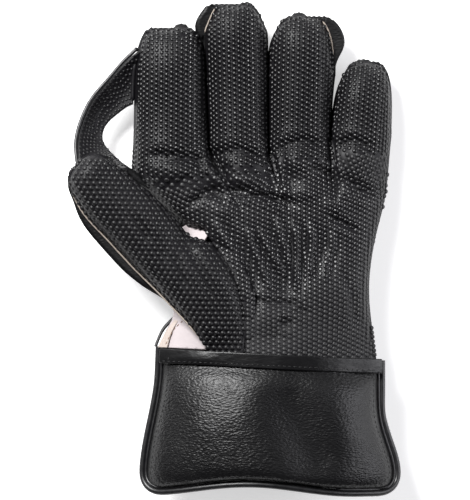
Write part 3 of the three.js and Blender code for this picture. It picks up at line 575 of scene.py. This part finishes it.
def pimple_rows(
    node, folded, start, run, length, reach, keep=None, side=None, columns=1, pitch=1
):
    """Staggered rows of pimples on a folded surface, spaced along the node's smooth one.
    start, run: middle of the first row and the way the rows advance; reach: how far they go to
    either side; side: the way that a row runs, square to run unless it is given; columns, pitch:
    the spacing as a share of the usual."""
    surface = surface_of(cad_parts[node])
    sizes = bpy.context.scene.glove_sizes
    columns, pitch = columns * sizes.pimple_columns, pitch * sizes.pimple_pitch
    step = 0.3 * MM
    side = side or Vector((run.y, -run.x, 0))
    advance = run.cross(side).length
    found = []
    gone, row, walked, before = 0.0, 0, 0.0, None
    while gone < length:
        middle = start + run * gone
        hit = drop(surface, middle.x, middle.y)
        gone += step
        if hit is None:
            before = None
            continue
        if before is not None:
            walked += (hit[0] - before).length * advance
        before = hit[0]
        if walked < row * pitch / 2:
            continue
        first = (columns * (row % 2) - middle.dot(side)) % (2 * columns)
        for way, wanted in ((1, first), (-1, 2 * columns - first)):
            here, covered, offset = hit, 0.0, 0.0
            while offset < reach:
                offset += step
                there = middle + side * (way * offset)
                lower = drop(surface, there.x, there.y)
                if lower is None or abs(lower[0].z - here[0].z) > 4 * MM:
                    break
                if keep is not None and not keep(lower, side * way):
                    break
                stretch = (lower[0] - here[0]).length
                while covered + stretch >= wanted:
                    place = here[0].lerp(lower[0], (wanted - covered) / stretch)
                    found.append(drop(folded, place.x, place.y))
                    wanted += 2 * columns
                covered += stretch
                here = lower
        row += 1
    return found


def web_rows(share):
    """Rows of pimples across the web, from the index finger to the thumb. share: their spacing as
    a share of the usual."""
    sizes = bpy.context.scene.glove_sizes
    columns, pitch = share * sizes.pimple_columns, share * sizes.pimple_pitch
    surface = surface_of(bpy.data.objects["web_rubber"])
    outer, inner = smooth_line(WEB_OUTER, 0.5), smooth_line(WEB_INNER, 0.5)
    found = []
    walked, row, before = 0.0, 0, None
    steps = 400
    for n in range(steps + 1):
        ends = [line[round(n / steps * (len(line) - 1))] for line in (outer, inner)]
        middle = ends[0].lerp(ends[1], 0.5)
        if before is not None:
            walked += (middle - before).length * MM
        before = middle
        if walked < row * pitch / 2:
            continue
        width = (ends[1] - ends[0]).length * MM
        offset = 1.4 * MM + columns * (row % 2)
        while offset < width - 1.2 * MM:
            place = ends[0].lerp(ends[1], offset / width) * MM
            found.append(drop(surface, place.x, place.y))
            offset += 2 * columns
        row += 1
    return found


def thinned(found, taken, share=0.84):
    """Where pimples stand: leaves out one that would miss the rubber, face down or stand on one
    already taken. share: the least distance from one to the next as a share of the usual one."""
    sizes = bpy.context.scene.glove_sizes
    cell, least = 1.2 * sizes.pimple_pitch, share * sizes.pimple_pitch
    kept = []
    for place, normal in [hit for hit in found if hit and hit[1].z > STEEPEST]:
        key = tuple(math.floor(v / cell) for v in place)
        near = [
            other
            for dx in (-1, 0, 1)
            for dy in (-1, 0, 1)
            for dz in (-1, 0, 1)
            for other in taken.get((key[0] + dx, key[1] + dy, key[2] + dz), [])
        ]
        if all((place - other).length > least for other in near):
            taken.setdefault(key, []).append(place)
            turn = normal.to_track_quat("Z", "Y").to_matrix().to_4x4()
            kept.append(Matrix.Translation(place - normal * 0.12 * MM) @ turn)
    return kept


def filled(surface, low, high, taken):
    """Pimples in the bare places that the rows leave, between two corners in millimetres."""
    places = [(x * MM, y * MM) for y in range(low[1], high[1]) for x in range(low[0], high[0])]
    found = [drop(surface, *place) for place in places]
    return thinned([hit for hit in found if hit and hit[1].z > 0.4], taken, 1)


# Materials


def add_node(tree, kind, settings=None, links=None):
    """Adds a shader node with its settings, and its inputs as values or other nodes' outputs."""
    node = tree.nodes.new(kind)
    for name, value in (settings or {}).items():
        setattr(node, name, value)
    for name, value in (links or {}).items():
        if isinstance(value, bpy.types.NodeSocket):
            tree.links.new(value, node.inputs[name])
        else:
            node.inputs[name].default_value = value
    return node


def new_material(name):
    """An empty material with its output, and the object coordinates that its patterns read."""
    made = bpy.data.materials.new(name)
    made.use_nodes = True
    tree = made.node_tree
    tree.nodes.clear()
    coordinates = add_node(tree, "ShaderNodeTexCoord").outputs["Object"]
    return made, tree, coordinates


def surface_shader(made, tree, links):
    shader = add_node(tree, "ShaderNodeBsdfPrincipled", links=links)
    add_node(tree, "ShaderNodeOutputMaterial", links={"Surface": shader.outputs["BSDF"]})
    return made


def shade(tree, colour, factor, dark, light):
    """A colour that runs from a darker to a lighter share of itself with a pattern."""
    ramp = add_node(tree, "ShaderNodeValToRGB", links={"Fac": factor})
    for element, share in zip(ramp.color_ramp.elements, (dark, light)):
        element.color = (*[min(1, c * share) for c in colour], 1)
    return ramp.outputs["Color"]


def spread(tree, factor, low, high):
    """A pattern's values spread between two numbers."""
    return add_node(
        tree,
        "ShaderNodeMapRange",
        links={"Value": factor, "From Min": 0.3, "From Max": 0.7, "To Min": low, "To Max": high},
    ).outputs["Result"]


def clouds(tree, place, scale, detail):
    """Soft patches of noise. scale: how many go into a metre; detail: how finely they break up."""
    return add_node(
        tree, "ShaderNodeTexNoise", links={"Vector": place, "Scale": scale, "Detail": detail}
    ).outputs["Fac"]


def calculated(tree, operation, *values):
    """Numbers and patterns worked out together."""
    return add_node(
        tree, "ShaderNodeMath", {"operation": operation}, dict(enumerate(values))
    ).outputs["Value"]


def bumps(tree, pattern, strength, millimetres):
    """Which way a surface faces where a pattern raises it."""
    return add_node(
        tree,
        "ShaderNodeBump",
        links={"Height": pattern, "Strength": strength, "Distance": millimetres * MM},
    ).outputs["Normal"]


def moulded_rubber(name, low, high, gloss, tone, polished=0):
    """Moulded natural rubber: charcoal black with a satin skin, dulled unevenly by handling.
    low, high: its roughness; gloss: how much it reflects; tone: its lightness; polished: how much
    smoother it is in the middle of the palm."""
    made, tree, place = new_material(name)
    colour = [c * tone for c in bpy.context.scene.glove_colours.rubber]
    # Patches about 20 mm across, from handling and dust.
    patches = clouds(tree, place, 50, 3)
    # A moulded skin has grain of about 0.2 mm; it is drawn at 0.6 mm so that it shows.
    skin = clouds(tree, place, 1700, 2)
    roughness = spread(tree, patches, low, high)
    if polished:
        # Catches rub the middle of the palm smooth, in an oval about 150 mm by 130 mm.
        oval = add_node(
            tree,
            "ShaderNodeMapping",
            links={"Vector": place, "Location": (-0.4, -0.25, 0), "Scale": (13, 15, 0)},
        ).outputs["Vector"]
        middle = add_node(
            tree, "ShaderNodeTexGradient", {"gradient_type": "SPHERICAL"}, {"Vector": oval}
        ).outputs["Fac"]
        rubbed = add_node(
            tree,
            "ShaderNodeMapRange",
            links={"Value": middle, "From Max": 0.45, "To Max": polished},
        ).outputs["Result"]
        roughness = calculated(tree, "SUBTRACT", roughness, rubbed)
    return surface_shader(made, tree, {
        "Base Color": shade(tree, colour, patches, 0.75, 1.3),
        "Roughness": roughness,
        "Normal": bumps(tree, skin, 0.3, 0.15),
        "IOR": 1.52,
        "Specular IOR Level": gloss,
    })


def coated_leather(name, colour, grain, depth, low, high):
    """Leather with a pebbled coating: rounded cells between fine valleys, glossy on top."""
    made, tree, place = new_material(name)
    warp = add_node(
        tree, "ShaderNodeTexNoise", links={"Vector": place, "Scale": 110, "Detail": 2}
    ).outputs["Color"]
    bent = add_node(
        tree,
        "ShaderNodeMixRGB",
        {"blend_type": "LINEAR_LIGHT"},
        {"Fac": 0.0009, "Color1": place, "Color2": warp},
    ).outputs["Color"]
    # Pebbles a little wider than they are long, as the coating is stretched over the pad.
    flat = add_node(
        tree, "ShaderNodeMapping", links={"Vector": bent, "Scale": (0.6, 1.25, 1)}
    ).outputs["Vector"]
    cells = add_node(
        tree,
        "ShaderNodeTexVoronoi",
        {"feature": "SMOOTH_F1"},
        {"Vector": flat, "Scale": 1 / (grain * MM), "Smoothness": 0.35},
    ).outputs["Distance"]
    height = calculated(tree, "MULTIPLY_ADD", cells, -1, clouds(tree, flat, 900, 4))
    wear = clouds(tree, place, 36, 2)
    return surface_shader(made, tree, {
        "Base Color": shade(tree, colour, wear, 0.8, 1.25),
        "Roughness": spread(tree, wear, low, high),
        "Normal": bumps(tree, height, 0.8, depth),
        "IOR": 1.5,
        "Specular IOR Level": 0.35,
    })


def white_leather():
    """Soft undyed leather: matte, faintly pink, with fine pores and a little soiling."""
    made, tree, place = new_material("undyed_leather")
    soiling = clouds(tree, place, 90, 4)
    pores = add_node(
        tree, "ShaderNodeTexVoronoi", links={"Vector": place, "Scale": 1100}
    ).outputs["Distance"]
    return surface_shader(made, tree, {
        "Base Color": shade(tree, bpy.context.scene.glove_colours.white, soiling, 0.86, 1.06),
        "Roughness": spread(tree, soiling, 0.55, 0.7),
        "Normal": bumps(tree, pores, 0.35, 0.2),
        "IOR": 1.45,
    })


def woven_tape(name, colour):
    """Cotton tape: a plain weave whose threads cross every 0.5 mm, so it looks matte and ribbed."""
    made, tree, place = new_material(name)
    threads = [
        add_node(
            tree,
            "ShaderNodeTexWave",
            {"bands_direction": direction},
            {"Vector": place, "Scale": 310, "Distortion": 0.6},
        ).outputs["Fac"]
        for direction in ("X", "Y")
    ]
    weave = calculated(tree, "MULTIPLY", *threads)
    return surface_shader(made, tree, {
        "Base Color": shade(tree, colour, weave, 0.82, 1.05),
        "Roughness": 0.85,
        "Normal": bumps(tree, weave, 0.5, 0.2),
    })


def smooth_vinyl():
    """Extruded vinyl piping: smooth and fairly glossy, with faint bending marks."""
    made, tree, place = new_material("vinyl_piping")
    marks = clouds(tree, place, 240, 3)
    return surface_shader(made, tree, {
        "Base Color": shade(tree, bpy.context.scene.glove_colours.piping, marks, 0.85, 1.2),
        "Roughness": spread(tree, marks, 0.34, 0.46),
        "Normal": bumps(tree, marks, 0.35, 0.3),
        "IOR": 1.53,
    })


def sewing_thread(name, colour):
    """Twisted polyester thread: a soft sheen, with its plies as fine slanted ribs."""
    made, tree, place = new_material(name)
    plies = add_node(
        tree,
        "ShaderNodeTexWave",
        {"bands_direction": "DIAGONAL"},
        {"Vector": place, "Scale": 500},
    ).outputs["Fac"]
    return surface_shader(made, tree, {
        "Base Color": shade(tree, colour, plies, 0.8, 1.2),
        "Roughness": 0.5,
        "Normal": bumps(tree, plies, 0.5, 0.1),
    })


def material(name):
    """One of the glove's materials, made when it is first asked for."""
    colours = bpy.context.scene.glove_colours
    makers = {
        # The rubber between the pimples holds dirt and stays matte. Their tops are rubbed smooth,
        # most of all in the palm.
        "moulded_rubber": lambda: moulded_rubber(name, 0.42, 0.52, 0.2, 0.85),
        "pimple_rubber": lambda: moulded_rubber(name, 0.28, 0.38, 0.4, 0.38),
        "dull_rubber": lambda: moulded_rubber(name, 0.4, 0.52, 0.38, 0.45),
        "worn_rubber": lambda: moulded_rubber(name, 0.5, 0.6, 0.55, 0.55, polished=0.19),
        "pebbled_leather": lambda: coated_leather(name, colours.leather, 1.5, 0.32, 0.34, 0.42),
        "back_leather": lambda: coated_leather(name, colours.leather, 1.6, 0.25, 0.42, 0.56),
        "band_leather": lambda: coated_leather(name, colours.leather, 3, 0.14, 0.3, 0.4),
        "undyed_leather": white_leather,
        "cotton_tape": lambda: woven_tape(name, colours.tape),
        "cotton_canvas": lambda: woven_tape(name, colours.canvas),
        "vinyl_piping": smooth_vinyl,
        "brown_thread": lambda: sewing_thread(name, colours.brown_thread),
        "black_thread": lambda: sewing_thread(name, colours.black_thread),
    }
    return bpy.data.materials.get(name) or makers[name]()


# Operators


class GLOVE_OT_palm(Operator):
    """The rubber over the palm and the fronts of the fingers, with its folds"""

    bl_idname = "glove.palm"
    bl_label = "Palm rubber"

    def execute(self, context):
        palm = soft_copy("palm_facing", "palm_rubber")
        fit(palm, PALM_MOVES)
        recess(palm, context.scene.glove_sizes.pimple_height)
        sculpt(palm, FOLDS, MOUNDS, fade=(-68, -56))
        # The rubber swells gently over the seam to the thumb, as a cord pressed to a third.
        surface, pressed = surface_of(palm), 0.34
        path = []
        for p in smooth_line(inset(THUMB_SEAM, 0.3), 1.5):
            near = surface.find_nearest(Vector((p.x, p.y, 50)) * MM)[0]
            path.append(Vector((p.x * MM, p.y * MM, (near.z - 0.9 * MM) / pressed)))
        roll = tube("roll", path, 14 * MM, "moulded_rubber", taper=0.2)
        roll.data.transform(Matrix.Diagonal((1, 1, pressed, 1)))
        join(palm, roll)
        gather_tips(palm)
        worn_by(palm, ["palm_facing"], "moulded_rubber")
        return {"FINISHED"}


class GLOVE_OT_thumb(Operator):
    """The thumb's rubber and its leather back"""

    bl_idname = "glove.thumb"
    bl_label = "Thumb"

    def execute(self, context):
        thumb = soft_copy("thumb_facing", "thumb_rubber")
        recess(thumb, context.scene.glove_sizes.pimple_height)
        sculpt(thumb, THUMB_FOLDS, wave=18, fade=(-66, -52))
        worn_by(thumb, ["thumb_facing"], "moulded_rubber")
        back = soft_copy("thumb_back", "thumb_leather")
        worn_by(back, ["thumb_back"], "back_leather")
        return {"FINISHED"}


class GLOVE_OT_backs(Operator):
    """The leather over the back of the hand and of each finger"""

    bl_idname = "glove.backs"
    bl_label = "Leather back"

    def execute(self, context):
        hand = soft_copy("hand_back", "hand_leather")
        worn_by(hand, ["hand_back"], "back_leather")
        for finger in FINGERS:
            node = f"{finger['name']}_back"
            back = soft_copy(node, f"{finger['name']}_leather")
            if finger["name"] in ("middle", "ring"):
                fit(back, BACK_MOVES)
            gather_tips(back, [finger])
            worn_by(back, [node], "back_leather")
        return {"FINISHED"}


class GLOVE_OT_web(Operator):
    """The catching web and its piping"""

    bl_idname = "glove.web"
    bl_label = "Catching web"

    def execute(self, context):
        web = soft_copy("catching_web", "web_rubber")
        fit(web, WEB_MOVES)
        worn_by(web, ["catching_web"], "moulded_rubber")
        piping = soft_copy("web_piping", "web_edge", 1)
        fit(piping, WEB_MOVES)
        worn_by(piping, ["web_piping"], "vinyl_piping")
        return {"FINISHED"}


class GLOVE_OT_white_leather(Operator):
    """The white leather at the thumb, with its tape and piping"""

    bl_idname = "glove.white_leather"
    bl_label = "White leather"

    def execute(self, context):
        for node, name, slot, finish in (
            ("wrist_gusset", "gusset_leather", "leather_white", "undyed_leather"),
            ("crotch_leather", "crotch_lining", "leather_white", "undyed_leather"),
            ("gusset_tape", "gusset_edge_tape", "tape_cream", "cotton_tape"),
            ("gusset_piping", "gusset_edge_piping", "piping_black", "vinyl_piping"),
        ):
            piece = soft_copy(node, name)
            if node in ("gusset_tape", "gusset_piping"):
                fit(piece, GUSSET_MOVES)
            if node == "gusset_piping":
                fit(piece, GUSSET_PIPING_MOVES)
            worn_by(piece, [node], finish)
        return {"FINISHED"}


class GLOVE_OT_cuff(Operator):
    """The padded cuff, its piping and the band along the wrist"""

    bl_idname = "glove.cuff"
    bl_label = "Cuff"

    def execute(self, context):
        pad = soft_copy("cuff_palm_pad", "cuff_pad")
        fill_pad(pad, 6, 1)
        sculpt(pad, CUFF_FOLDS, CUFF_MOUNDS, waviness=0.35, wave=44, top_only=True)
        worn_by(pad, ["cuff_palm_pad"], "pebbled_leather")
        back = soft_copy("cuff_back_pad", "cuff_back")
        fill_pad(back, 3, -1)
        worn_by(back, ["cuff_back_pad"], "pebbled_leather")
        band = soft_copy("cuff_binding", "wrist_band", rim_crease=0.8)
        fit(band, BAND_MOVES)
        sculpt(band, [], BAND_MOUNDS, waviness=0.3, wave=16, top_only=True)
        worn_by(band, ["cuff_binding"], "band_leather")
        for node in ("cuff_piping", "cuff_back_piping"):
            piping = soft_copy(node, f"{node}_cord")
            fit(piping, PIPING_MOVES)
            worn_by(piping, [node], "vinyl_piping")
        return {"FINISHED"}


class GLOVE_OT_pimples(Operator):
    """The pimples that cover all the rubber"""

    bl_idname = "glove.pimples"
    bl_label = "Pimples"

    def execute(self, context):
        taken = {}
        palm, thumb = (bpy.data.objects[name] for name in ("palm_rubber", "thumb_rubber"))
        palm, both = surface_of(palm), surface_of(palm, thumb)

        def own_finger(hit, outward):
            return hit[1].dot(outward) > -0.35 and hit[1].z > STEEPEST

        fingers = []
        for finger in FINGERS:
            root, tip = (Vector((*finger[end], 0)) * MM for end in ("root", "tip"))
            run = (tip - root).normalized()
            length, reach = (tip - root).length + 3 * MM, finger["reach"] * MM
            found = pimple_rows("palm_facing", palm, root, run, length, reach, own_finger)
            fingers += thinned(found, taken)
        start, run = Vector((37, -70, 0)) * MM, Vector((0, 1, 0))
        found = pimple_rows("palm_facing", palm, start, run, 136 * MM, 110 * MM, pitch=0.94)
        on_palm = thinned(found, taken)
        start, run = Vector((-2, -70, 0)) * MM, Vector((-90, 120, 0)).normalized()
        found = pimple_rows(
            "thumb_facing", both, start, run, 160 * MM, 70 * MM,
            side=Vector((1, 0, 0)), columns=0.62, pitch=2.03,
        )
        on_thumb = thinned(found, taken) + filled(both, (-104, -68), (14, 44), taken)
        on_palm += filled(palm, (-62, -68), (102, 70), taken)

        on_web = thinned(web_rows(0.72), {}, 0.6)

        for name, shape, places, finish in (
            ("finger_pimples", pimple_shape(), fingers, "pimple_rubber"),
            ("palm_pimples", pimple_shape(hollow=0.3 * MM), on_palm, "worn_rubber"),
            ("thumb_pimples", pimple_shape(1.06), on_thumb, "dull_rubber"),
            ("web_pimples", pimple_shape(0.66), on_web, "dull_rubber"),
        ):
            pimples = scattered(name, shape, places)
            worn_by(pimples, [], finish)
        return {"FINISHED"}


class GLOVE_OT_stitches(Operator):
    """The stitches round the cuff, along the band and through the tape"""

    bl_idname = "glove.stitches"
    bl_label = "Stitches"

    def execute(self, context):
        sizes = context.scene.glove_sizes
        bm = bmesh.new()
        bmesh.ops.create_icosphere(bm, subdivisions=1, radius=0.5)
        bmesh.ops.scale(bm, vec=(sizes.stitch, sizes.thread, sizes.thread), verts=bm.verts)
        shape = mesh_from(bm, "stitch")

        cuff, tape = [inset(CUFF_LINE, 7), BAND_LINE], [inset(TAPE_LINE, 1.9)]
        on_cuff, on_tape = ("cuff_pad", "wrist_band"), ("gusset_edge_tape", "gusset_leather")
        for name, lines, carriers, finish, slot in (
            ("cuff_stitches", cuff, on_cuff, "black_thread", "leather_black"),
            ("tape_stitches", tape, on_tape, "brown_thread", "tape_cream"),
        ):
            surfaces = [surface_of(bpy.data.objects[carrier]) for carrier in carriers]
            places = []
            for line in lines:
                path = smooth_line(line, sizes.stitch_pitch / MM)
                for here, there in zip(path, path[1:]):
                    ends = []
                    for p in (here, here.lerp(there, sizes.stitch / sizes.stitch_pitch)):
                        hits = [drop(s, p.x * MM, p.y * MM) for s in surfaces]
                        ends.append(max((h for h in hits if h), key=lambda h: h[0].z, default=None))
                    if None in ends:
                        continue
                    run = (ends[1][0] - ends[0][0]).normalized()
                    up = (ends[0][1] - run * run.dot(ends[0][1])).normalized()
                    turn = Matrix((run, up.cross(run), up)).transposed().to_4x4()
                    places.append(Matrix.Translation(ends[0][0].lerp(ends[1][0], 0.5)) @ turn)
            stitches = scattered(name, shape, places)
            worn_by(stitches, [], finish)
        return {"FINISHED"}


class GLOVE_OT_canvas_edges(Operator):
    """The pale canvas backing where the rubber's cut edge shows"""

    bl_idname = "glove.canvas_edges"
    bl_label = "Canvas edges"

    def execute(self, context):
        width = context.scene.glove_sizes.canvas_edge
        for name, line, carrier, side in (
            ("thumb_canvas_edge", THUMB_EDGE, "thumb_rubber", -1),
            ("middle_canvas_edge", MIDDLE_EDGE, "palm_rubber", -1),
            ("ring_canvas_edge", RING_EDGE, "palm_rubber", 1),
        ):
            surface = surface_of(bpy.data.objects[carrier])
            path = outline(surface, line, side)
            tube(name, path, width, "cotton_canvas", taper=0.1)
        return {"FINISHED"}


class GLOVE_OT_seams(Operator):
    """The sewn seams that close the cuff's piping, the web's end and the root of the thumb"""

    bl_idname = "glove.seams"
    bl_label = "Seams"

    def execute(self, context):
        for name, first, second, height in (
            ("cuff_welt", "cuff_pad", "cuff_piping_cord", 31),
            ("cuff_back_welt", "cuff_back", "cuff_back_piping_cord", 10),
        ):
            path = between(first, second, CUFF_LINE, height)
            tube(name, path, 2.6 * MM, "vinyl_piping")
        path = between("web_rubber", "index_leather", WEB_SEAM, 19)
        tube("web_seam", path, 3 * MM, "moulded_rubber", taper=0.1)
        path = [Vector(p) * MM for p in WEB_LINING]
        tube("web_lining", path, 7 * MM, "back_leather", taper=0.3)
        return {"FINISHED"}


class GLOVE_OT_stage(Operator):
    """The pale floor, the studio lights and the camera straight above"""

    bl_idname = "glove.stage"
    bl_label = "Stage"

    def execute(self, context):
        bm = bmesh.new()
        bmesh.ops.create_grid(bm, x_segments=1, y_segments=1, size=3)
        floor = shown("floor", mesh_from(bm, "floor"))
        floor.data.transform(Matrix.Translation((0, 0, -0.3 * MM)))
        made, tree, place = new_material("opal_acrylic")
        mottling = clouds(tree, place, 3, 2)
        # A table lit from below, so that shadows on it stay pale.
        surface_shader(made, tree, {
            "Base Color": shade(tree, context.scene.glove_colours.floor, mottling, 0.99, 1.0),
            "Roughness": 0.9,
            "Emission Color": (1, 1, 1, 1),
            "Emission Strength": 0.55,
        })
        floor.data.materials.append(made)

        for name, place, size, watts, colour in (
            ("key", (-0.56, 0.76, 0.98), 0.5, 37, 0xFFFFFF),
            ("fill", (1.1, 0.1, 0.55), 0.8, 9, 0xFAFAFF),
        ):
            light = bpy.data.lights.new(name, "AREA")
            light.size = size
            light.energy = watts
            light.color = linear(colour)
            lamp = shown(name, light)
            lamp.location = place
            lamp.rotation_euler = (-Vector(place)).to_track_quat("-Z", "Y").to_euler()

        world = bpy.data.worlds.new("studio")
        world.use_nodes = True
        background = world.node_tree.nodes["Background"]
        background.inputs["Color"].default_value = (*linear(0xFAF5FF), 1)
        background.inputs["Strength"].default_value = 0.09
        context.scene.world = world
        context.scene.view_settings.view_transform = "Standard"

        lens = bpy.data.cameras.new("camera")
        lens.lens = 400
        camera = shown("camera", lens)
        view_height = 325 * MM
        camera.location = (1.5 * MM, -0.15 * MM, 32 * MM + view_height * lens.lens / 36)
        lens.clip_end = 10
        context.scene.camera = camera
        return {"FINISHED"}


PIECES = (
    GLOVE_OT_palm,
    GLOVE_OT_thumb,
    GLOVE_OT_backs,
    GLOVE_OT_web,
    GLOVE_OT_white_leather,
    GLOVE_OT_cuff,
    GLOVE_OT_pimples,
    GLOVE_OT_stitches,
    GLOVE_OT_canvas_edges,
    GLOVE_OT_seams,
    GLOVE_OT_stage,
)


class GLOVE_PT_sidebar(Panel):
    """Lists the glove's pieces, sizes and colours"""

    bl_idname = "GLOVE_PT_sidebar"
    bl_label = "Wicketkeeping glove"
    bl_space_type = "VIEW_3D"
    bl_region_type = "UI"
    bl_category = "Glove"

    def draw(self, context):
        for piece in PIECES:
            self.layout.operator(piece.bl_idname)
        for settings in (context.scene.glove_sizes, context.scene.glove_colours):
            box = self.layout.box()
            for name in settings.__annotations__:
                box.prop(settings, name)


CLASSES = (GloveSizes, GloveColours, *PIECES, GLOVE_PT_sidebar)


def register():
    for cls in CLASSES:
        bpy.utils.register_class(cls)
    bpy.types.Scene.glove_sizes = PointerProperty(type=GloveSizes)
    bpy.types.Scene.glove_colours = PointerProperty(type=GloveColours)


def unregister():
    del bpy.types.Scene.glove_colours
    del bpy.types.Scene.glove_sizes
    for cls in reversed(CLASSES):
        bpy.utils.unregister_class(cls)


def main():
    register()
    for piece in PIECES:
        area, name = piece.bl_idname.split(".")
        getattr(getattr(bpy.ops, area), name)()


if __name__ == "__main__":
    main()
